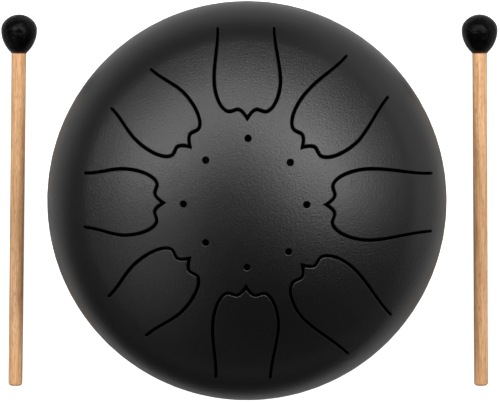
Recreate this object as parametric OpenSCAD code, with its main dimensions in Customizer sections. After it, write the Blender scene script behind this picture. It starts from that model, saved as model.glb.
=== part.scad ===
// Steel tongue drum with eight notes, and its pair of rubber-headed mallets.
// Millimetres. +Z is up, Z = 0 is the surface that everything stands on, and the
// drum's own axis is the Z axis. +Y is the side away from the player.

/* [Drum body] */
// Outside diameter of the pressed shells
drum_d = 254; // [252:1:260]
// Height from the seam to the crown of one shell
shell_rise = 69; // [66:1:72]
// Radius of the rounded shoulder beside the seam
shoulder_r = 50; // [46:1:54]
// Thickness of the steel sheet
sheet = 1.6; // [1.2:0.1:2]
// Height of the lower shell's crown above the table
belly_clearance = 6; // [5:1:9]
// Gap between the two shells that the weld fills
weld_gap = 1.2; // [0.8:0.1:1.6]
// Height of the dressed weld above the sheet
weld_crown = 0.25; // [0.1:0.05:0.4]

/* [Notes] */
// Width of the cut round each tongue
slit_w = 1.9; // [1.4:0.1:2.2]
// Distance from the drum's axis to the widest place of a tongue
wide_at = 77; // [75:1:79]
// Sideways distance from a tongue's centre line to each of its two lobes
lobe_out = 11.2; // [10:0.2:12]
// Sideways distance from the centre line to the notch beside the point
notch_out = 5.7; // [5:0.1:6.4]
// How far the notch stands back from the lobes
notch_in = 1.4; // [1:0.1:2]
// How far the cut's point stands ahead of the lobes
point_ahead = 4.2; // [3:0.1:5]
// Diameter of the small hole ahead of each tongue
hole_d = 4.2; // [3:0.1:5]
// Gap that stands for the bend line at each tongue's root
bend_gap = 0.3; // [0.3:0.1:0.5]

/* [Sound hole and feet] */
// Diameter of the hole in the lower shell
sound_hole_d = 66; // [56:1:72]
// Wall of the rubber edging on the sound hole
edging_wall = 1.8; // [1.2:0.1:2.4]
// How far the edging laps over the sheet
edging_lap = 5; // [4:0.5:7]
// Distance of the feet from the drum's axis
foot_ring = 58; // [54:1:70]
// Diameter of a foot at its base
foot_d = 25; // [20:1:28]
// Diameter of the foot screws
screw_d = 5; // [4:0.5:6]

/* [Mallets] */
// Length of a mallet from butt to nose
mallet_l = 243; // [220:1:260]
// Diameter of the stick at its butt
butt_d = 9.2; // [8:0.1:10]
// Diameter of the stick where it enters the head
neck_d = 9.6; // [8:0.1:10.4]
// Largest diameter of the rubber head
head_d = 23.4; // [20:0.2:26]
// Length of the head ahead of its widest place
head_nose = 10.1; // [9:0.1:11.5]
// Length of the head behind its widest place
head_back = 14.2; // [12:0.2:16]

/* [Hidden] */
$fn = 96;
R = drum_d / 2;
seam_z = belly_clearance + shell_rise;
crown_r = (R * R - 2 * R * shoulder_r + shell_rise * shell_rise) / (2 * (shell_rise - shoulder_r));
shoulder_at = R - shoulder_r;
crown_z = shell_rise - crown_r;
blend_angle = asin(shoulder_at / (crown_r - shoulder_r));
far = 2 * crown_r;
corner_power = 1.08;
point_depth = notch_in + point_ahead;

// One row for each tongue: bearing, distance of the lobes, half width at the widest
// place, distance of the root, half width at the root, sideways lean at the root,
// then the bearing and distance of the small hole ahead of it
tongue_rear        = [  89.8, 57.2, 20.8, 109.4, 17.7, -1.1,   89.1, 40.7];
tongue_rear_right  = [  45.5, 53.3, 22.3, 109.2, 18.4, -1.7,   43.6, 37.2];
tongue_right       = [  -0.6, 53.3, 22.4, 115.8, 18.3, -1.2,   -0.8, 37.2];
tongue_front_right = [ -47.9, 55.6, 22.3, 113.1, 18.3, -1.5,  -49.0, 39.5];
tongue_front       = [ -90.6, 55.8, 20.6, 110.0, 17.2,  1.3,  -89.9, 39.4];
tongue_front_left  = [-136.4, 53.5, 21.0, 103.2, 17.1,  0.3, -136.8, 35.2];
tongue_left        = [ 179.4, 56.0, 20.8, 101.6, 17.1,  0.6, -179.7, 39.5];
tongue_rear_left   = [ 135.0, 54.2, 21.1, 101.7, 17.5, -0.7,  133.4, 37.3];
tongues = [tongue_rear, tongue_rear_right, tongue_right, tongue_front_right,
           tongue_front, tongue_front_left, tongue_left, tongue_rear_left];

hole_slope = asin(sound_hole_d / 2 / crown_r);
hole_edge_z = belly_clearance + crown_r * (1 - cos(hole_slope));
foot_bearings = [90, 210, 330];
foot_tilt = asin(foot_ring / crown_r);
foot_top_z = belly_clearance + crown_r * (1 - cos(foot_tilt));
foot_pad = 5;
head_h = 3;
washer_t = 1;
washer_lift = 0.12;
nut_h = 4;
nut_across = 8;

head_r = head_d / 2;
head_round = 8.5;
nose_r = (pow(head_r, 2) - 2 * head_r * head_round + pow(head_nose, 2)) / (2 * (head_nose - head_round));
nose_angle = asin((head_r - head_round) / (nose_r - head_round));
mouth_r = 5.8;
head_sweep = (pow(head_back, 2) + pow(head_r - mouth_r, 2)) / (2 * (head_r - mouth_r));
head_at = mallet_l - head_nose;
stick_in_head = 16;
butt_round = 2;
left_butt = [-151.7, -123.1];
right_butt = [153.45, -123.1];
left_yaw = -0.8;
right_yaw = 0.45;
mallet_tilt = asin((head_r - butt_d / 2) / (head_at - butt_round));

drum_steel = [0.10, 0.10, 0.105];
tongue_steel = [0.17, 0.17, 0.18];
rubber_black = [0.05, 0.05, 0.05];
zinc = [0.75, 0.75, 0.78];
beech = [0.85, 0.66, 0.46];

// ---------- the pressed sheet ----------

// Filled half section inside the shell's outer face, shrunk by inset: a shallow crown
// arc that runs into a tighter shoulder arc
module bowl_fill(inset = 0) {
    intersection() {
        translate([0, crown_z]) circle(crown_r - inset);
        polygon([[0, crown_z], [far * sin(blend_angle), crown_z + far * cos(blend_angle)],
                 [0, crown_z + far]]);
    }
    translate([shoulder_at, 0]) circle(shoulder_r - inset);
}

// Half section of the sheet above the seam. grow thickens both faces for clearances.
module sheet_section(grow = 0)
    intersection() {
        difference() {
            bowl_fill(-grow);
            bowl_fill(sheet + grow);
        }
        translate([0, weld_gap / 2]) square([drum_d, drum_d]);
    }

module upper_dome() {
    translate([0, 0, seam_z]) rotate_extrude() sheet_section();
}

module lower_section(grow = 0)
    translate([0, seam_z]) mirror([0, 1]) sheet_section(grow);

// ---------- the outline of a note ----------

function smooth(s) = s * s * (3 - 2 * s);

// Right-hand half of the middle of the cut, from the point out to the root, as
// [distance from the axis, sideways distance]
function half_cut(t) = concat(
    [for (i = [0:3]) let (s = i / 4)
        [t[1] + notch_in - point_depth * pow(1 - s, 1.7), notch_out * s]],
    [for (i = [0:3]) let (s = i / 4)
        [t[1] + notch_in * (1 - smooth(s)), notch_out + (lobe_out - notch_out) * s]],
    [for (i = [0:7]) let (a = i * 90 / 8)
        [wide_at - (wide_at - t[1]) * pow(cos(a), corner_power),
         lobe_out + (t[2] - lobe_out) * pow(sin(a), corner_power)]],
    [for (i = [0:5]) let (s = i / 5)
        [wide_at + (t[3] - wide_at) * s, t[2] - (t[2] - t[4]) * smooth(s)]]);

// Whole middle line of the cut, left root to right root, with its lean
function lean(t, p) = [p[0], p[1] + t[5] * max(0, p[0] - wide_at) / (t[3] - wide_at)];
function cut_line(t) = let (h = half_cut(t), n = len(h)) concat(
    [for (i = [n - 1:-1:1]) lean(t, [h[i][0], -h[i][1]])],
    [for (p = h) lean(t, p)]);

// The same line moved sideways by d, with sharp corners kept sharp
function unit(v) = v / norm(v);
function turned(v) = [v[1], -v[0]];
function moved(line, d) = let (n = len(line)) [for (i = [0:n - 1])
    let (before = turned(unit(line[max(i, 1)] - line[max(i, 1) - 1])),
         after = turned(unit(line[min(i, n - 2) + 1] - line[min(i, n - 2)])),
         middle = unit(before + after))
    line[i] + middle * d / (middle * before)];

// Seen from above, with the line's second number to the player's right of outward
module note_2d(t, d, short = 0) {
    edge = moved(cut_line(t), d);
    last = len(edge) - 1;
    root = t[3] - short;
    rotate(t[0]) mirror([0, 1])
        polygon(concat([[root, edge[0][1]]],
            [for (i = [1:last - 1]) edge[i]], [[root, edge[last][1]]]));
}

// ---------- drum ----------

module top_shell() color(drum_steel)
    difference() {
        upper_dome();
        for (t = tongues) {
            translate([0, 0, seam_z + 10]) linear_extrude(shell_rise) note_2d(t, -slit_w / 2);
            rotate(t[6]) translate([t[7], 0, seam_z + 10]) cylinder(d = hole_d, h = shell_rise);
        }
    }

module tongue(t) color(tongue_steel)
    intersection() {
        upper_dome();
        translate([0, 0, seam_z + 10]) linear_extrude(shell_rise) note_2d(t, slit_w / 2, bend_gap);
    }

module bottom_shell() color(drum_steel)
    difference() {
        rotate_extrude() lower_section();
        cylinder(d = sound_hole_d, h = seam_z);
        for (b = foot_bearings) at_foot(b) translate([0, 0, -sheet])
            cylinder(d = screw_d + 0.5, h = 4 * sheet);
    }

module seam_weld() color(drum_steel)
    translate([0, 0, seam_z]) rotate_extrude() intersection() {
        translate([R - sheet / 2, 0]) circle(sheet / 2 + weld_crown);
        translate([R - 2 * sheet, -weld_gap / 2]) square([4 * sheet, weld_gap]);
    }

// U-shaped rubber strip pushed onto the sheet's edge
module sound_hole_edging() color(rubber_black)
    rotate_extrude() difference() {
        translate([sound_hole_d / 2, hole_edge_z]) rotate(hole_slope) {
            translate([0, sheet / 2]) circle(sheet / 2 + edging_wall);
            translate([0, -edging_wall]) square([edging_lap, sheet + 2 * edging_wall]);
        }
        intersection() {
            lower_section(0.03);
            translate([sound_hole_d / 2 - 0.03, 0]) square(seam_z);
        }
    }

// Local frame of one foot: origin on the outside of the sheet, +Z straight into the drum
module at_foot(b)
    rotate(b) translate([foot_ring, 0, foot_top_z]) rotate([0, -foot_tilt, 0]) children();

// Moulded foot, its top shaped to the shell and its base level with the table
module foot(b) color(rubber_black)
    difference() {
        intersection() {
            at_foot(b) translate([0, 0, -2 * foot_d])
                cylinder(d1 = foot_d + 8, d2 = foot_d - 3, h = 2 * foot_d);
            translate([-drum_d, -drum_d, 0]) cube([2 * drum_d, 2 * drum_d, seam_z]);
        }
        translate([0, 0, belly_clearance + crown_r]) sphere(crown_r + 0.02);
        at_foot(b) translate([0, 0, -foot_pad]) {
            cylinder(d = screw_d + 0.1, h = 2 * foot_pad);
            translate([0, 0, -2 * foot_d]) cylinder(d = 2.4 * screw_d, h = 2 * foot_d);
        }
    }

module foot_screws() color(zinc)
    for (b = foot_bearings) at_foot(b) difference() {
        union() {
            translate([0, 0, -foot_pad - head_h]) cylinder(d = 1.84 * screw_d, h = head_h - 0.02);
            translate([0, 0, -foot_pad - 0.02])
                cylinder(d = screw_d, h = foot_pad + sheet + washer_t + nut_h + 2);
        }
        translate([0, 0, -foot_pad - head_h - 1]) cylinder(d = 0.7 * screw_d, h = 2.6, $fn = 6);
    }

module foot_washers() color(zinc)
    for (b = foot_bearings) at_foot(b) translate([0, 0, sheet + washer_lift]) difference() {
        cylinder(d = 2.4 * screw_d, h = washer_t);
        translate([0, 0, -1]) cylinder(d = screw_d + 0.4, h = washer_t + 2);
    }

module foot_nuts() color(zinc)
    for (b = foot_bearings) at_foot(b) translate([0, 0, sheet + washer_lift + washer_t + 0.02])
        difference() {
            cylinder(d = nut_across / cos(30), h = nut_h, $fn = 6);
            translate([0, 0, -1]) cylinder(d = screw_d + 0.1, h = nut_h + 2);
        }

// ---------- mallets ----------

// A mallet lies with its butt and its head both on the table. at is the place of the
// butt, and yaw turns the head to the left
module lying(at, yaw)
    translate([at[0], at[1], butt_d / 2 - butt_round * sin(mallet_tilt)]) rotate([0, 0, yaw])
        rotate([mallet_tilt - 90, 0, 0]) children();

module stick(at, yaw) color(beech) lying(at, yaw) {
    rotate_extrude() intersection() {
        translate([0, butt_round]) {
            circle(butt_round);
            translate([butt_d / 2 - butt_round, 0]) circle(butt_round);
            translate([0, -butt_round]) square([butt_d / 2 - butt_round, 2 * butt_round]);
        }
        square([butt_d, butt_round]);
    }
    translate([0, 0, butt_round])
        cylinder(d1 = butt_d, d2 = neck_d, h = head_at - head_back + stick_in_head - butt_round);
}

// Filled half section of a head: a blunt nose arc, a rounder side arc, and one long
// arc that draws in to the mouth
module head_fill() {
    translate([0, head_nose - nose_r]) intersection() {
        circle(nose_r);
        polygon([[0, 0], [far * sin(nose_angle), far * cos(nose_angle)], [0, far]]);
    }
    intersection() {
        translate([head_r - head_round, 0]) circle(head_round);
        translate([0, -head_round]) square([head_r, 2 * head_round]);
    }
    intersection() {
        translate([head_r - head_sweep, 0]) circle(head_sweep);
        translate([0, -head_back]) square([head_r, head_back]);
    }
}

module mallet_head(at, yaw) color(rubber_black) lying(at, yaw) translate([0, 0, head_at])
    difference() {
        rotate_extrude() head_fill();
        translate([0, 0, -head_back - 1]) cylinder(d = neck_d + 0.1, h = stick_in_head + 1.1);
    }

top_shell();
tongue(tongue_rear);
tongue(tongue_rear_right);
tongue(tongue_right);
tongue(tongue_front_right);
tongue(tongue_front);
tongue(tongue_front_left);
tongue(tongue_left);
tongue(tongue_rear_left);
bottom_shell();
seam_weld();
sound_hole_edging();
foot(foot_bearings[0]);  // foot_rear
foot(foot_bearings[1]);  // foot_front_left
foot(foot_bearings[2]);  // foot_front_right
foot_screws();
foot_washers();
foot_nuts();
stick(left_butt, left_yaw);  // left_mallet_stick
mallet_head(left_butt, left_yaw);  // left_mallet_head
stick(right_butt, right_yaw);  // right_mallet_stick
mallet_head(right_butt, right_yaw);  // right_mallet_head
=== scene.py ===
import math

import bmesh
import bpy
from mathutils import Matrix, Vector


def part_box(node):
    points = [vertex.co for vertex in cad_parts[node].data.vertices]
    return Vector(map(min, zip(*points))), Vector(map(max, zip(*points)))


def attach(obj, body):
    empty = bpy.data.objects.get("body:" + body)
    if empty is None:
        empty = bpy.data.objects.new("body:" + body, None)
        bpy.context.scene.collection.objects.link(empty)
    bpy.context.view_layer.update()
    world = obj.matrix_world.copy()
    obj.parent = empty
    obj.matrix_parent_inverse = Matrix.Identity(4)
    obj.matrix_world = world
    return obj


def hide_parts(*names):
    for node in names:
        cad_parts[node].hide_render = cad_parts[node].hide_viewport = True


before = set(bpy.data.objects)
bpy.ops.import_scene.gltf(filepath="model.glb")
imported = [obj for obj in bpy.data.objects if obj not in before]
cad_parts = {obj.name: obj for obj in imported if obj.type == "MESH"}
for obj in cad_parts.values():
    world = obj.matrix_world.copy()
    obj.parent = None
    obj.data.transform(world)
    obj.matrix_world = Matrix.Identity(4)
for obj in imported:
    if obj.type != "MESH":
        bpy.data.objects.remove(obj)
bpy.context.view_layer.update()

# ---- Upper shell ------------------------------------------------------------
# A shallow bowl pressed from 1.6 mm steel sheet: a wide crown arc that runs into
# a tighter shoulder beside the seam. Eight notes are cut in it and one small hole
# is drilled ahead of each, and the whole is powder coated in satin black.
mm = 0.001
seam_z = sum(corner.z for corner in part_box("seam_weld")) / 2
drum_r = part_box("top_shell")[1].x
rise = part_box("top_shell")[1].z - seam_z
sheet = 1.6 * mm
weld_gap = 1.2 * mm
shoulder_r = 50 * mm
shoulder_at = drum_r - shoulder_r
crown_r = (drum_r**2 - 2 * drum_r * shoulder_r + rise**2) / (2 * (rise - shoulder_r))
crown_z = rise - crown_r
turn = math.asin(shoulder_at / (crown_r - shoulder_r))


def bowl_point(slope, depth=0.0):
    """Half section of the bowl where it slopes by that much, depth into the sheet."""
    at, high, radius = (0, crown_z, crown_r) if slope < turn else (shoulder_at, 0, shoulder_r)
    return Vector((at + (radius - depth) * math.sin(slope), 0,
                   seam_z + high + (radius - depth) * math.cos(slope)))


def bowl_section(first=0.0):
    """Closed section of the sheet, from the crown, or from where it slopes by first."""
    edge = math.acos(weld_gap / 2 / shoulder_r)
    inner_edge = math.acos(weld_gap / 2 / (shoulder_r - sheet))
    slopes = [first + (turn - first) * i / 30 for i in range(30)]
    outer = slopes + [turn + (edge - turn) * i / 30 for i in range(31)]
    inner = slopes[::2] + [turn + (inner_edge - turn) * i / 14 for i in range(15)]
    return [bowl_point(s) for s in outer] + [bowl_point(s, sheet) for s in reversed(inner)]


def spun(section, steps=256):
    """A section in the XZ plane, turned about Z. It is closed unless it starts on the axis."""
    bm = bmesh.new()
    dots = [bm.verts.new(p) for p in section]
    lines = [bm.edges.new(pair) for pair in zip(dots, dots[1:])]
    if section[0].x > 1e-7:
        lines.append(bm.edges.new((dots[-1], dots[0])))
    bmesh.ops.spin(bm, geom=dots + lines, cent=(0, 0, 0), axis=(0, 0, 1),
                   angle=2 * math.pi, steps=steps, use_merge=True)
    bmesh.ops.remove_doubles(bm, verts=bm.verts, dist=1e-6)
    return bm


def pushed(bm, rings):
    """A solid pushed from ring to ring; every ring has the same number of points."""
    first = face = bm.faces.new([bm.verts.new(p) for p in rings[0]])
    for ring in rings[1:]:
        grown = bmesh.ops.extrude_face_region(bm, geom=[face])["geom"]
        if face is not first:
            bmesh.ops.delete(bm, geom=[face], context="FACES_ONLY")
        face = next(g for g in grown if isinstance(g, bmesh.types.BMFace))
        for vert, p in zip(face.verts, ring):
            vert.co = p


def solid(name, bm):
    bmesh.ops.recalc_face_normals(bm, faces=bm.faces)
    mesh = bpy.data.meshes.new(name)
    bm.to_mesh(mesh)
    bm.free()
    made = bpy.data.objects.new(name, mesh)
    bpy.context.scene.collection.objects.link(made)
    return made


def carved(name, blank, tool, how="DIFFERENCE"):
    """A new piece: the blank with the tool cut away, or only what the tool covers."""
    cut = blank.modifiers.new("cut", "BOOLEAN")
    cut.operation, cut.solver, cut.object = how, "MANIFOLD", tool
    bpy.context.view_layer.update()
    mesh = bpy.data.meshes.new_from_object(blank.evaluated_get(
        bpy.context.evaluated_depsgraph_get()))
    blank.modifiers.clear()
    mesh.name = name
    made = bpy.data.objects.new(name, mesh)
    bpy.context.scene.collection.objects.link(made)
    return made


def smooth_faces(made, sharpest=32):
    made.data.shade_smooth()
    made.data.set_sharp_from_angle(angle=math.radians(sharpest))


def fit(made, body, node, finish):
    """The finish goes on, and the piece takes its CAD node's place on that body."""
    made.data.materials.clear()
    made.data.materials.append(finish)
    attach(made, body)
    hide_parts(node)


# One row for each note: bearing, distance of its two lobes, half width at the
# widest place, distance of the root, half width there, sideways lean at the root,
# then bearing and distance of the small hole, in degrees and millimetres
notes = {
    "rear": (89.8, 57.2, 20.8, 109.4, 17.7, -1.1, 89.1, 40.7),
    "rear_right": (45.5, 53.3, 22.3, 109.2, 18.4, -1.7, 43.6, 37.2),
    "right": (-0.6, 53.3, 22.4, 115.8, 18.3, -1.2, -0.8, 37.2),
    "front_right": (-47.9, 55.6, 22.3, 113.1, 18.3, -1.5, -49.0, 39.5),
    "front": (-90.6, 55.8, 20.6, 110.0, 17.2, 1.3, -89.9, 39.4),
    "front_left": (-136.4, 53.5, 21.0, 103.2, 17.1, 0.3, -136.8, 35.2),
    "left": (179.4, 56.0, 20.8, 101.6, 17.1, 0.6, -179.7, 39.5),
    "rear_left": (135.0, 54.2, 21.1, 101.7, 17.5, -0.7, 133.4, 37.3),
}
wide_at, lobe_out, notch_out, notch_in, point_ahead = 77, 11.2, 5.7, 1.4, 4.2
hole_r = 2.1 * mm
cut_depth = 6 * mm
window_low, window_h = seam_z + 5 * mm, 90 * mm
slit_half = 0.95 * mm
root_narrowing = 0.12
note_edge, shell_edge, hole_edge = 0.6 * mm, 0.35 * mm, 0.45 * mm


def eased(s):
    return s * s * (3 - 2 * s)


def slit_line(bearing, lobe, wide, root, root_half, lean):
    """Middle of a note's slit seen from above, from its left root round to its right."""
    half = [(lobe + notch_in - (notch_in + point_ahead) * (1 - s) ** 1.7, notch_out * s)
            for s in (i / 5 for i in range(5))]
    half += [(lobe + notch_in * (1 - eased(s)), notch_out + (lobe_out - notch_out) * s)
             for s in (i / 7 for i in range(7))]
    half += [(wide_at - (wide_at - lobe) * math.cos(a) ** 1.08,
              lobe_out + (wide - lobe_out) * math.sin(a) ** 1.08)
             for a in (math.pi / 2 * i / 24 for i in range(24))]
    half += [(wide_at + (root - wide_at) * s, wide - (wide - root_half) * eased(s))
             for s in (i / 24 for i in range(25))]
    both = [(u, -v) for u, v in reversed(half[1:])] + half
    out = Vector((math.cos(math.radians(bearing)), math.sin(math.radians(bearing))))
    right = Vector((out.y, -out.x))
    return [(out * u + right * (v + lean * max(0, u - wide_at) / (root - wide_at))) * mm
            for u, v in both]


def on_crown(flat, lift=0.0):
    """The upper shell's face over a point seen from above, lifted off it squarely."""
    slope = math.asin(flat.length / crown_r)
    if slope > turn:
        slope = math.asin((flat.length - shoulder_at) / shoulder_r)
    p = bowl_point(slope, -lift)
    return Vector((*(flat.normalized() * p.x), p.z))


def edge_section(half_width, rounding):
    """Half of a cut's section as (sideways, height): its edge is rounded over."""
    bends = [math.pi / 2 * i / 4 for i in range(5)]
    return [(half_width + rounding + 0.5 * mm, 0.5 * mm)] + [
        (half_width + rounding * (1 - math.sin(b)), -rounding * (1 - math.cos(b)))
        for b in bends]


def slit_cutter(bm, line):
    """The slot that the cutter leaves along a line; it narrows to its round ends."""
    ways = [(b - a).normalized() for a, b in zip(line, line[1:])]
    sides = [Vector((w.y, -w.x)) for w in ways]
    places = []
    for i, spot in enumerate(line):
        before, after = sides[max(i - 1, 0)], sides[min(i, len(sides) - 1)]
        middle = (before + after).normalized()
        places.append((spot, middle / middle.dot(before), Vector((0, 0))))
    for b in (math.radians(25), math.radians(50), math.radians(75)):
        places.insert(0, (line[0], sides[0] * math.cos(b), -ways[0] * math.sin(b)))
        places.append((line[-1], sides[-1] * math.cos(b), ways[-1] * math.sin(b)))
    below = Vector((0, 0, -cut_depth))
    rings = []
    for spot, side, ahead in places:
        reach = (spot.length - wide_at * mm) / (line[0].length - wide_at * mm)
        half = slit_half * (1 - root_narrowing * eased(min(1, max(0, reach))))
        left = [on_crown(spot - side * d + ahead * d, lift)
                for d, lift in edge_section(half, note_edge)]
        right = [on_crown(spot + side * d + ahead * d, lift)
                 for d, lift in edge_section(half, shell_edge)]
        rings.append(left + [left[-1] + below, right[-1] + below] + right[::-1])
    pushed(bm, rings)


def hole_cutter(bm, centre, radius):
    ring = [Vector((math.cos(a), math.sin(a))) for a in (math.tau * i / 48 for i in range(48))]
    rings = [[on_crown(centre + way * d, lift) for way in ring]
             for d, lift in edge_section(radius, hole_edge)]
    pushed(bm, rings + [[p + Vector((0, 0, -cut_depth)) for p in rings[-1]]])


def window(bm, line):
    """What a note's outline covers, to part it from the shell at its root."""
    floor = [Vector((*p, window_low)) for p in line]
    pushed(bm, [floor, [p + Vector((0, 0, window_h)) for p in floor]])


def pressed_smooth(made):
    """The press leaves no facets: the outer face takes the bowl's own normals."""
    smooth_faces(made, 40)
    mesh = made.data
    normals = [c.vector.copy() for c in mesh.corner_normals]

    def square_to_bowl(p):
        out = Vector((p.x, p.y, 0))
        crown = math.atan2(out.length, p.z - seam_z - crown_z) < turn
        at, high, radius = (0, crown_z, crown_r) if crown else (shoulder_at, 0, shoulder_r)
        way = out.normalized() * (out.length - at) + Vector((0, 0, p.z - seam_z - high))
        return way.normalized(), radius - way.length

    for face in mesh.polygons:
        way, depth = square_to_bowl(face.center)
        if depth < 0.1 * mm and face.normal.dot(way) > 0.996:
            for corner in face.loop_indices:
                spot = mesh.vertices[mesh.loops[corner].vertex_index].co
                normals[corner] = square_to_bowl(spot)[0]
    mesh.normals_split_custom_set(normals)


def node_in(finish, kind, **values):
    made = finish.node_tree.nodes.new(kind)
    for key, value in values.items():
        if key in made.inputs:
            made.inputs[key].default_value = value
        else:
            setattr(made, key, value)
    return made


def new_finish(name):
    finish = bpy.data.materials.new(name)
    finish.use_nodes = True
    return finish, finish.node_tree.nodes["Principled BSDF"], finish.node_tree.links.new


def clouds(finish, **values):
    """Noise that is fixed to the piece."""
    noise = node_in(finish, "ShaderNodeTexNoise", **values)
    spot = node_in(finish, "ShaderNodeTexCoord").outputs["Object"]
    finish.node_tree.links.new(spot, noise.inputs["Vector"])
    return noise.outputs["Fac"]


def toned(finish, noise, dark, pale, dark_to=0.0, pale_from=1.0):
    """Colour that goes from dark to pale as the noise rises between the two levels."""
    tone = node_in(finish, "ShaderNodeValToRGB")
    for stop, colour, level in zip(tone.color_ramp.elements, (dark, pale), (dark_to, pale_from)):
        stop.position, stop.color = level, (*colour, 1)
    finish.node_tree.links.new(noise, tone.inputs["Fac"])
    return tone.outputs["Color"]


def roughened(finish, noise, smoothest, roughest):
    """The skin's roughness follows the noise."""
    rough = node_in(finish, "ShaderNodeMapRange", **{"To Min": smoothest, "To Max": roughest})
    finish.node_tree.links.new(noise, rough.inputs["Value"])
    skin = finish.node_tree.nodes["Principled BSDF"]
    finish.node_tree.links.new(rough.outputs["Result"], skin.inputs["Roughness"])


def dimpled(finish, noise, strength, depth):
    """The skin rises and falls with the noise."""
    bump = node_in(finish, "ShaderNodeBump", Strength=strength, Distance=depth)
    finish.node_tree.links.new(noise, bump.inputs["Height"])
    skin = finish.node_tree.nodes["Principled BSDF"]
    finish.node_tree.links.new(bump.outputs["Normal"], skin.inputs["Normal"])


def powder_coat(name, smoothest, roughest, shine):
    """Baked powder: fine orange peel and a slow drift in sheen."""
    finish, skin, link = new_finish(name)
    skin.inputs["Specular IOR Level"].default_value = shine
    peel = clouds(finish, Scale=880, Detail=3, Roughness=0.6)
    drift = clouds(finish, Scale=28, Detail=4, Roughness=0.6)
    link(toned(finish, peel, [0.0003] * 3, [0.0012] * 3), skin.inputs["Base Color"])
    roughened(finish, drift, smoothest, roughest)
    dimpled(finish, peel, 1, 0.19 * mm)
    return finish


coat = powder_coat("black_powder_coat", 0.315, 0.395, 0.5)
# The inside coat is painted shade: much less shine and rougher, so that the inside of the drum
# stays dark.
inside_coat_painted_shade = powder_coat("inside_coat_dulled_as_painted_shade", 0.65, 0.8, 0.06)
slits = {name: slit_line(*row[:6]) for name, row in notes.items()}
blank = solid("blank", spun(bowl_section()))
cutter = bmesh.new()
for name, row in notes.items():
    slit_cutter(cutter, slits[name])
    bearing = math.radians(row[6])
    hole_cutter(cutter, Vector((math.cos(bearing), math.sin(bearing))) * row[7] * mm, hole_r)
cutter = solid("cutter", cutter)
cut_bowl = carved("cut_bowl", blank, cutter)
windows = bmesh.new()
for slit in slits.values():
    window(windows, slit)
windows = solid("windows", windows)
upper = carved("upper_shell", cut_bowl, windows)
pressed_smooth(upper)
fit(upper, "drum", "top_shell", coat)

# ---- Notes ------------------------------------------------------------------
# Each tongue is the shell's own sheet, freed by its slit on three sides and still
# one piece with the shell along its root, where it bends. It carries the same coat.
# A hair's breadth is left at the root, so that the sheet can tilt there.
root_gap = 0.045 * mm
for name, slit in slits.items():
    outline = bmesh.new()
    left_root = slit[0] + (slit[1] - slit[0]).normalized() * root_gap
    right_root = slit[-1] + (slit[-2] - slit[-1]).normalized() * root_gap
    window(outline, [left_root, *slit[1:-1], right_root])
    outline = solid("outline", outline)
    tongue = carved("note_" + name, cut_bowl, outline, "INTERSECT")
    bpy.data.objects.remove(outline)
    pressed_smooth(tongue)
    fit(tongue, "note_" + name, "tongue_" + name, coat)
for spent in (blank, cutter, windows, cut_bowl):
    bpy.data.objects.remove(spent)

# ---- Lower shell ------------------------------------------------------------
# A second pressing of the same bowl, turned over. It has no notes, only the sound
# hole at its middle and three holes for the foot screws. It has the same coat, but
# its inside gets a rough coat with little shine, as painted shade for the dark inside
# of the drum.
sound_hole_r = 33 * mm
foot_ring = 58 * mm
screw_hole_r, drill_l = 2.75 * mm, 12 * mm
foot_slope = math.asin(foot_ring / crown_r)
foot_bearings = {"foot_rear": 90, "foot_front_left": 210, "foot_front_right": 330}
turn_over = Matrix.Translation((0, 0, 2 * seam_z)) @ Matrix.Scale(-1, 4, (0, 0, 1))
foot_top = turn_over @ bowl_point(foot_slope)


def at_foot(bearing):
    """Foot's own frame: its origin on the sheet's outside, Z squarely into the drum."""
    return (Matrix.Rotation(math.radians(bearing), 4, "Z") @ Matrix.Translation(foot_top)
            @ Matrix.Rotation(-foot_slope, 4, "Y"))


lower = spun(bowl_section(math.asin(sound_hole_r / crown_r)))
bmesh.ops.transform(lower, matrix=turn_over, verts=lower.verts)
lower = solid("lower_blank", lower)
drill = bmesh.new()
for bearing in foot_bearings.values():
    bmesh.ops.create_cone(drill, cap_ends=True, segments=48, radius1=screw_hole_r,
                          radius2=screw_hole_r, depth=drill_l, matrix=at_foot(bearing))
drill = solid("drill", drill)
lower_shell = carved("lower_shell", lower, drill)
smooth_faces(lower_shell)
fit(lower_shell, "drum", "bottom_shell", coat)
lower_shell.data.materials.append(inside_coat_painted_shade)
# Faces that look into the drum take the coat that is painted shade.
for face in lower_shell.data.polygons:
    if face.normal.dot(Vector((0, 0, seam_z)) - face.center) > 0:
        face.material_index = 1
for spent in (lower, drill):
    bpy.data.objects.remove(spent)

# ---- Seam weld --------------------------------------------------------------
# A continuous bead joins the two rims. It is ground almost level with the sheet,
# so that only a low, slightly uneven band is left under the coat.
bead_r, bead_h = 1.02 * mm, 0.59 * mm
ripple_h = 0.03 * mm
bead = [Vector((drum_r - sheet / 2 + bead_r * math.cos(a), 0, seam_z + bead_h * math.sin(a)))
        for a in (math.tau * i / 20 for i in range(20))]
bead = spun(bead, 288)
for vert in bead.verts:
    bearing = math.atan2(vert.co.y, vert.co.x)
    ripple = ripple_h * (math.sin(61 * bearing) + 0.6 * math.sin(97 * bearing + 1.3))
    vert.co += Vector((math.cos(bearing), math.sin(bearing), 0)) * ripple
weld = solid("seam_bead", bead)
smooth_faces(weld)
fit(weld, "drum", "seam_weld", coat)

# ---- Sound hole edging ------------------------------------------------------
# A strip of black rubber with a U-shaped section, pushed over the raw edge of the
# sound hole so that it is safe to the fingers and doesn't buzz.
edging_wall = 1.8 * mm
edging_lap = 5 * mm
edge_play = 0.03 * mm
lip_round = 1.1 * mm


def edging_point(along, off):
    """Along the sheet from its edge, and off its middle, as a point of the section."""
    slope = math.asin((sound_hole_r + along) / crown_r)
    return turn_over @ bowl_point(slope, sheet / 2 - off)


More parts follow.
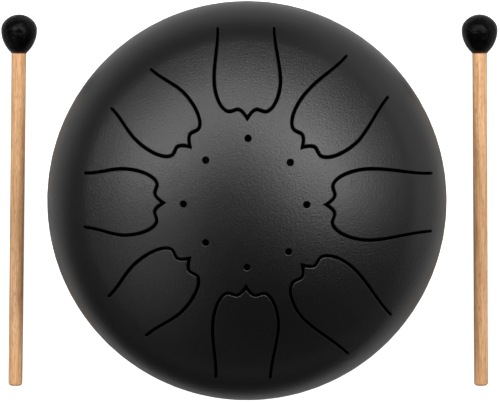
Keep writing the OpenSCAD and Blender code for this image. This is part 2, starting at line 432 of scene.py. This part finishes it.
groove = sheet / 2
bulge = groove + edging_wall
lip = [(edging_lap - lip_round, bulge), (edging_lap - 0.1 * mm, bulge - 0.35 * mm),
       (edging_lap + 0.2 * mm, groove + 0.3 * mm)]
edging = [edging_point(edging_lap, groove), edging_point(edge_play, groove),
          edging_point(edge_play, -groove), edging_point(edging_lap, -groove)]
edging += [edging_point(along, -off) for along, off in reversed(lip)]
edging += [edging_point(-bulge * math.sin(a), -bulge * math.cos(a))
           for a in (math.pi * i / 16 for i in range(17))]
edging += [edging_point(along, off) for along, off in lip]
edging = solid("sound_hole_edging_strip", spun(edging, 192))
smooth_faces(edging, 40)


def moulded_rubber():
    """Matt black rubber: a fine moulded grain and a faint grey bloom."""
    finish, skin, link = new_finish("moulded_black_rubber")
    grain = clouds(finish, Scale=1600, Detail=2)
    bloom = clouds(finish, Scale=90, Detail=5, Roughness=0.65)
    link(toned(finish, bloom, (0.010, 0.010, 0.010), (0.026, 0.026, 0.025), 0.35),
         skin.inputs["Base Color"])
    roughened(finish, bloom, 0.55, 0.72)
    dimpled(finish, grain, 0.3, 0.04 * mm)
    return finish


foot_rubber = moulded_rubber()
fit(edging, "drum", "sound_hole_edging", foot_rubber)

# ---- Feet -------------------------------------------------------------------
# Three tapered rubber feet stand squarely on the sheet, and their bases are
# moulded level with the table. A recess in each base hides the screw that holds it.
foot_pad = 5 * mm
foot_top_r = 11 * mm
foot_taper = 0.11
foot_bore_r, recess_r = 2.55 * mm, 6 * mm
foot_bottom = -24 * mm
seat_r, base_round = 6.5 * mm, 0.9 * mm
play = 0.02 * mm


def seat(r):
    """Height of the shell's outside above the foot's frame at that distance."""
    return r * r / (2 * crown_r) - play


foot_section = [Vector((foot_bore_r, 0, -foot_pad)), Vector((foot_bore_r, 0, seat(foot_bore_r))),
                Vector((seat_r, 0, seat(seat_r))),
                Vector((foot_top_r - 0.5 * mm, 0, seat(foot_top_r))),
                Vector((foot_top_r - 0.1 * mm, 0, seat(foot_top_r) - 0.18 * mm)),
                Vector((foot_top_r, 0, seat(foot_top_r) - 0.6 * mm)),
                Vector((foot_top_r - foot_taper * foot_bottom, 0, foot_bottom)),
                Vector((recess_r, 0, foot_bottom)), Vector((recess_r, 0, -foot_pad))]
for name, bearing in foot_bearings.items():
    foot = spun(foot_section, 96)
    bmesh.ops.transform(foot, matrix=at_foot(bearing), verts=foot.verts)
    sliced = bmesh.ops.bisect_plane(foot, geom=foot.verts[:] + foot.edges[:] + foot.faces[:],
                                    plane_co=(0, 0, 0), plane_no=(0, 0, -1), clear_outer=True)
    rims = [g for g in sliced["geom_cut"] if isinstance(g, bmesh.types.BMEdge)]
    bmesh.ops.bridge_loops(foot, edges=rims)
    bmesh.ops.recalc_face_normals(foot, faces=foot.faces)
    outer_rim = [e for e in rims if e.calc_face_angle(0) > 0.5]
    bmesh.ops.bevel(foot, geom=outer_rim, offset=base_round, offset_type="OFFSET", segments=3,
                    profile=0.5, affect="EDGES", material=-1)
    foot = solid(name + "_rubber", foot)
    smooth_faces(foot, 40)
    fit(foot, "drum", name, foot_rubber)

# ---- Foot screws, washers and nuts ------------------------------------------
# Zinc plated M5 machine screws with hexagon sockets pass up through the feet and
# the sheet. Inside the drum each has a plain washer and a hexagon nut. Their zinc is
# painted nearly black, as painted shade for the dark inside of the drum.


def zinc_plate(name, dark, pale, roughest):
    """Zinc plate: a little streaky from the barrel, dulled in places."""
    finish, skin, link = new_finish(name)
    skin.inputs["Metallic"].default_value = 1
    streaks = clouds(finish, Scale=420, Detail=5, Roughness=0.6)
    link(toned(finish, streaks, (dark, dark * 1.02, dark * 1.05), (pale, pale, pale * 1.03), 0.3),
         skin.inputs["Base Color"])
    roughened(finish, streaks, roughest - 0.18, roughest)
    return finish


zinc = zinc_plate("bright_zinc", 0.42, 0.66, 0.42)
# The washers and nuts inside the drum are painted nearly black: painted shade for the dark inside
# of the drum.
zinc_painted_dark_as_shade = zinc_plate("zinc_painted_dark_as_shade", 0.06, 0.11, 0.6)
head_r, head_h, screw_r = 4.6 * mm, 2.98 * mm, 2.5 * mm
socket_r, socket_depth = 1.75 * mm, 2 * mm
thread_pitch, thread_depth = 0.8 * mm, 0.3 * mm
washer_low, washer_t = 1.72 * mm, 1 * mm
washer_high = washer_low + washer_t
nut_low = washer_high + play
nut_r, nut_h = 4.6188 * mm, 4 * mm
screw_tip = sheet + washer_t + nut_h + 2 * mm


def place_at_feet(name, blank, node, plating):
    """The same fastener at all three feet, as one piece."""
    group = bmesh.new()
    for bearing in foot_bearings.values():
        copy = blank.data.copy()
        copy.transform(at_foot(bearing))
        group.from_mesh(copy)
        bpy.data.meshes.remove(copy)
    bpy.data.objects.remove(blank)
    made = solid(name, group)
    smooth_faces(made, 30)
    fit(made, "drum", node, plating)


under = -foot_pad - play
low = under - head_h
screw = [Vector((0, 0, low)), Vector((head_r - 1.2 * mm, 0, low)),
         Vector((head_r - 0.4 * mm, 0, low + 0.3 * mm)), Vector((head_r, 0, low + 1.1 * mm)),
         Vector((head_r, 0, under)), Vector((screw_r, 0, under))]
for i in range(13):
    crest = under + 1.2 * mm + i * thread_pitch
    screw += [Vector((screw_r, 0, crest)),
              Vector((screw_r - thread_depth, 0, crest + thread_pitch / 2))]
screw += [Vector((screw_r - 0.4 * mm, 0, screw_tip - 0.3 * mm)),
          Vector((screw_r - 0.8 * mm, 0, screw_tip)), Vector((0, 0, screw_tip))]
screw = solid("screw", spun(screw, 48))
key = bmesh.new()
bmesh.ops.create_cone(key, cap_ends=True, segments=6, radius1=socket_r, radius2=socket_r,
                      depth=2 * socket_depth, matrix=Matrix.Translation((0, 0, low)))
key = solid("key", key)
socketed = carved("socketed", screw, key)
for spent in (screw, key):
    bpy.data.objects.remove(spent)
place_at_feet("foot_screw_set", socketed, "foot_screws", zinc)

washer = [Vector((r * mm, 0, z)) for r, z in (
    (2.7, washer_low + 0.1 * mm), (2.8, washer_low),
    (5.85, washer_low), (6, washer_low + 0.15 * mm),
    (6, washer_high - 0.25 * mm), (5.75, washer_high),
    (2.85, washer_high), (2.7, washer_high - 0.15 * mm))]
washer = solid("washer", spun(washer, 64))
place_at_feet("foot_washer_set", washer, "foot_washers", zinc_painted_dark_as_shade)

hexagon = bmesh.new()
bmesh.ops.create_cone(hexagon, cap_ends=True, segments=6, radius1=nut_r, radius2=nut_r,
                      depth=nut_h, matrix=Matrix.Translation((0, 0, nut_low + nut_h / 2)))
hexagon = solid("hexagon", hexagon)
chamfer = solid("chamfer", spun([Vector((r * mm, 0, nut_low + z * mm)) for r, z in (
    (2.56, -0.5), (3.6, -0.5), (5.2, 0.55), (5.2, 3.45), (3.6, 4.5), (2.56, 4.5))], 96))
nut = carved("nut", hexagon, chamfer, "INTERSECT")
for spent in (hexagon, chamfer):
    bpy.data.objects.remove(spent)
place_at_feet("foot_nut_set", nut, "foot_nuts", zinc_painted_dark_as_shade)

# ---- Mallet sticks ----------------------------------------------------------
# Turned dowels of pale beech, a little thicker at the head, with a rounded butt.
# They are sanded smooth and left with a thin clear oil.
mallet_l = 243 * mm
butt_r, neck_r = 4.6 * mm, 4.8 * mm
butt_round = 2 * mm
ball_r, ball_nose, ball_back = 11.7 * mm, 10.1 * mm, 14.2 * mm
grip = 16 * mm
ball_at = mallet_l - ball_nose
tilt = math.asin((ball_r - butt_r) / (ball_at - butt_round))
lies = {"left": (Vector((-151.7, -123.1)) * mm, -0.8),
        "right": (Vector((153.45, -123.1)) * mm, 0.45)}


def lying(side):
    """The mallet's own frame, from butt to nose along Z, laid on the table."""
    butt, yaw = lies[side]
    return (Matrix.Translation((butt.x, butt.y, butt_r - butt_round * math.sin(tilt)))
            @ Matrix.Rotation(math.radians(yaw), 4, "Z")
            @ Matrix.Rotation(tilt - math.pi / 2, 4, "X"))


def beech(side, seed):
    """Pale beech: long soft streaks, short darker rays and a slow drift of tone."""
    finish, skin, link = new_finish("oiled_beech_" + side)
    spot = node_in(finish, "ShaderNodeTexCoord").outputs["Object"]
    laid = node_in(finish, "ShaderNodeMapping", Rotation=lying(side).inverted().to_euler(),
                   Location=(seed, 0, 0))
    link(spot, laid.inputs["Vector"])

    def stretched(across, along, **values):
        pulled = node_in(finish, "ShaderNodeMapping", Scale=(across, across, along))
        link(laid.outputs["Vector"], pulled.inputs["Vector"])
        grain = node_in(finish, "ShaderNodeTexNoise", **values)
        link(pulled.outputs["Vector"], grain.inputs["Vector"])
        return grain.outputs["Fac"]

    streak = stretched(700, 30, Scale=1, Detail=5, Roughness=0.65)
    rays = stretched(1300, 240, Scale=1, Detail=2, Roughness=0.5)
    drift = stretched(60, 16, Scale=1, Detail=3)
    base = toned(finish, streak, (0.60, 0.31, 0.13), (0.95, 0.575, 0.305), 0.36, 0.62)
    flecks = node_in(finish, "ShaderNodeMapRange",
                     **{"From Min": 0.54, "From Max": 0.68, "To Min": 0.0, "To Max": 0.6})
    link(rays, flecks.inputs["Value"])
    flecked = node_in(finish, "ShaderNodeMix", data_type="RGBA")
    flecked.inputs[7].default_value = (0.45, 0.22, 0.085, 1)
    link(flecks.outputs["Result"], flecked.inputs[0])
    link(base, flecked.inputs[6])
    warm = node_in(finish, "ShaderNodeMix", data_type="RGBA", blend_type="MULTIPLY")
    warm.inputs[0].default_value = 1
    link(flecked.outputs[2], warm.inputs[6])
    link(toned(finish, drift, (0.88, 0.84, 0.80), (1, 1, 1), 0.35, 0.65), warm.inputs[7])
    link(warm.outputs[2], skin.inputs["Base Color"])
    roughened(finish, streak, 0.42, 0.58)
    dimpled(finish, streak, 0.25, 0.05 * mm)
    return finish


shank = ball_at - ball_back + grip
dowel = [Vector((0, 0, 0))]
dowel += [Vector((butt_r - butt_round * (1 - math.sin(a)), 0, butt_round * (1 - math.cos(a))))
          for a in (math.pi / 2 * i / 8 for i in range(9))]
dowel += [Vector((butt_r + (neck_r - butt_r) * i / 24, 0,
                  butt_round + (shank - butt_round) * i / 24)) for i in range(1, 25)]
dowel.append(Vector((0, 0, shank)))
for side in lies:
    stick = spun(dowel, 72)
    bmesh.ops.transform(stick, matrix=lying(side), verts=stick.verts)
    stick = solid(side + "_stick", stick)
    smooth_faces(stick, 40)
    fit(stick, side + "_mallet", side + "_mallet_stick",
        beech(side, 0.3 if side == "left" else 0.7))

# ---- Mallet heads -----------------------------------------------------------
# Moulded balls of black rubber, drawn in towards the stick like an acorn and
# pushed on over its end. The rubber is smooth and keeps a dull shine. A thin dark
# red-brown ring round the stick at each mouth is painted shade, where the rim of the
# head shades the stick.
neck_open = 5.8 * mm
side_r = 8.5 * mm
nose_r = (ball_r**2 - 2 * ball_r * side_r + ball_nose**2) / (2 * (ball_nose - side_r))
nose_turn = math.asin((ball_r - side_r) / (nose_r - side_r))
back_sweep = (ball_back**2 + (ball_r - neck_open) ** 2) / (2 * (ball_r - neck_open))


def ball_rubber():
    """Smooth black rubber with a dull shine, faintly scuffed where it strikes."""
    finish, skin, link = new_finish("mallet_black_rubber")
    skin.inputs["Specular IOR Level"].default_value = 0.09
    scuff = clouds(finish, Scale=260, Detail=6, Roughness=0.65)
    dents = clouds(finish, Scale=230, Detail=4, Roughness=0.6)
    link(toned(finish, scuff, [0.0006] * 3, [0.0020] * 3, 0.4), skin.inputs["Base Color"])
    roughened(finish, scuff, 0.14, 0.36)
    dimpled(finish, dents, 0.8, 1.2 * mm)
    return finish


def mouth_ring_painted_shade():
    """Painted shade at the mouth: a dark red-brown ring where the head's rim shades the stick,
    cloudy and half glossy.
    """
    finish, skin, link = new_finish("mouth_ring_painted_shade")
    cloudy = clouds(finish, Scale=700, Detail=3)
    link(toned(finish, cloudy, (0.020, 0.004, 0.003), (0.09, 0.016, 0.009)),
         skin.inputs["Base Color"])
    roughened(finish, cloudy, 0.30, 0.5)
    return finish


ball_finish, mouth_shade_finish = ball_rubber(), mouth_ring_painted_shade()
back_turn = math.asin(ball_back / back_sweep)
mouth = neck_r + 0.03 * mm
ball_section = [Vector((nose_r * math.sin(a), 0, ball_nose - nose_r * (1 - math.cos(a))))
                for a in (nose_turn * i / 12 for i in range(12))]
ball_section += [Vector((ball_r - side_r * (1 - math.sin(a)), 0, side_r * math.cos(a)))
                 for a in (nose_turn + (math.pi / 2 - nose_turn) * i / 12 for i in range(13))]
ball_section += [Vector((ball_r - back_sweep * (1 - math.cos(a)), 0, -back_sweep * math.sin(a)))
                 for a in (back_turn * i / 24 for i in range(1, 24))]
ball_section += [Vector((neck_open + 0.12 * mm, 0, -ball_back + 0.12 * mm)),
                 Vector((neck_open - 0.1 * mm, 0, -ball_back)),
                 Vector((mouth, 0, -ball_back + 0.1 * mm)), Vector((mouth, 0, grip - ball_back)),
                 Vector((0, 0, grip - ball_back))]
# The dark red-brown ring at each mouth is painted shade, where the head's rim shades the stick.
mouth_shade_section = [Vector((r * mm, 0, ball_at - ball_back + z * mm)) for r, z in (
    (4.7, -1.05), (5.0, -1), (5.4, -0.55), (5.65, 0.15), (4.7, 0.15))]
for side in lies:
    ball = spun(ball_section, 96)
    bmesh.ops.transform(ball, matrix=lying(side) @ Matrix.Translation((0, 0, ball_at)),
                        verts=ball.verts)
    ball = solid(side + "_ball", ball)
    smooth_faces(ball, 40)
    fit(ball, side + "_mallet", side + "_mallet_head", ball_finish)
    fillet = spun(mouth_shade_section, 72)
    bmesh.ops.transform(fillet, matrix=lying(side), verts=fillet.verts)
    fillet = solid(side + "_mouth_shade_ring", fillet)
    smooth_faces(fillet, 50)
    fillet.data.materials.append(mouth_shade_finish)
    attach(fillet, side + "_mallet")

# ---- Table, light and camera ------------------------------------------------
# A pale table under long soft lights behind and on both sides. A dark sheet lies on
# it at the player's side, as painted shade in place of the drum's shadow there, so that
# the front of the rim has little to reflect. A veil of light over both and on the far
# walls, which only the camera sees, takes their shadows down to a breath. It fades out
# under the drum, where the shadow stays.
table_z, card_z, veil_z = -0.3 * mm, -0.2 * mm, -0.1 * mm
table_half, wall_r, wall_top = 12, 11, 6
fade_from, fade_to, veil_light = 45 * mm, 125 * mm, 0.96


def staged_sheet(name, height, corners, tone):
    flat = bmesh.new()
    flat.faces.new([flat.verts.new((x, y, height)) for x, y in corners])
    made = solid(name, flat)
    paper, skin, _ = new_finish(name)
    skin.inputs["Base Color"].default_value = (tone, tone, tone, 1)
    skin.inputs["Roughness"].default_value = 0.8
    made.data.materials.append(paper)


staged_sheet("pale_table", table_z, [(x * table_half, y * table_half) for x, y in (
    (-1, -1), (1, -1), (1, 1), (-1, 1))], 0.55)
# This dark card is painted shade: it stands in for the drum's shadow on the table in front of it.
staged_sheet("dark_card", card_z, ((-3.9, 0.83), (-4.9, -2.8), (2.8, -4.9), (3.8, -1.24)), 0.07)

veil = solid("veil", spun([Vector((0, 0, veil_z)), Vector((wall_r, 0, veil_z)),
                           Vector((wall_r, 0, wall_top))], 64))
glow = bpy.data.materials.new("veil_of_light")
glow.use_nodes = True
glow.node_tree.nodes.clear()
glow_link = glow.node_tree.links.new
distance = node_in(glow, "ShaderNodeVectorMath", operation="LENGTH")
fade = node_in(glow, "ShaderNodeMapRange", interpolation_type="SMOOTHSTEP",
               **{"From Min": fade_from, "From Max": fade_to, "To Max": veil_light})
shining = node_in(glow, "ShaderNodeEmission")
clear = node_in(glow, "ShaderNodeBsdfTransparent")
added = node_in(glow, "ShaderNodeAddShader")
glow_link(node_in(glow, "ShaderNodeTexCoord").outputs["Object"], distance.inputs[0])
glow_link(distance.outputs["Value"], fade.inputs["Value"])
glow_link(fade.outputs["Result"], shining.inputs["Strength"])
glow_link(clear.outputs["BSDF"], added.inputs[0])
glow_link(shining.outputs["Emission"], added.inputs[1])
glow_link(added.outputs["Shader"], node_in(glow, "ShaderNodeOutputMaterial").inputs["Surface"])
veil.data.materials.append(glow)
veil.visible_diffuse = veil.visible_glossy = veil.visible_transmission = False
veil.visible_volume_scatter = veil.visible_shadow = False

room = bpy.data.worlds.new("room")
bpy.context.scene.world = room
room.use_nodes = True
room_link = room.node_tree.links.new
upward = node_in(room, "ShaderNodeSeparateXYZ")
walls = node_in(room, "ShaderNodeMapRange",
                **{"From Min": 0.12, "From Max": 0.72, "To Min": 0.30, "To Max": 0.045})
backdrop = room.node_tree.nodes["Background"]
backdrop.inputs["Color"].default_value = (1, 1, 1, 1)
room_link(node_in(room, "ShaderNodeTexCoord").outputs["Generated"], upward.inputs["Vector"])
room_link(upward.outputs["Z"], walls.inputs["Value"])
room_link(walls.outputs["Result"], backdrop.inputs["Strength"])


def softbox(name, bearing, from_top, away, width, height, radiance):
    lamp = bpy.data.lights.new(name, "AREA")
    lamp.shape, lamp.size, lamp.size_y = "RECTANGLE", width, height
    lamp.energy = radiance * math.pi * width * height
    made = bpy.data.objects.new(name, lamp)
    b, t = math.radians(bearing), math.radians(from_top)
    way = Vector((math.cos(b) * math.sin(t), math.sin(b) * math.sin(t), math.cos(t)))
    made.location = Vector((0, 0, seam_z)) + way * away
    made.rotation_euler = way.to_track_quat("Z", "Y").to_euler()
    bpy.context.scene.collection.objects.link(made)


softbox("right_light", 37, 29, 1.6, 1.3, 0.5, 9.1)
softbox("rear_left_light", 130, 33.5, 1.6, 1.6, 0.4, 7.7)
softbox("left_light", 183, 37, 1.6, 2.0, 0.4, 2.1)
softbox("wall_glow", 22, 82, 3.6, 6.6, 1.6, 0.85)

camera = bpy.data.objects.new("camera", bpy.data.cameras.new("camera"))
bpy.context.scene.collection.objects.link(camera)
bpy.context.scene.camera = camera
above, lean_back, seen_width = 2.6, math.radians(1.65), 0.3185
aim = Vector((1.96, -0.08, 0)) * mm + Vector((0, 0, seam_z))
camera.location = (0, above * math.sin(lean_back), seam_z + above * math.cos(lean_back))
back = (camera.location - aim).normalized()
across = Vector((0, 1, 0)).cross(back).normalized()
camera.rotation_euler = Matrix((across, back.cross(across), back)).transposed().to_euler()
camera.data.sensor_width = 36
camera.data.lens = camera.data.sensor_width * above / seen_width
camera.data.clip_end = 20
bpy.context.scene.view_settings.view_transform = "Standard"
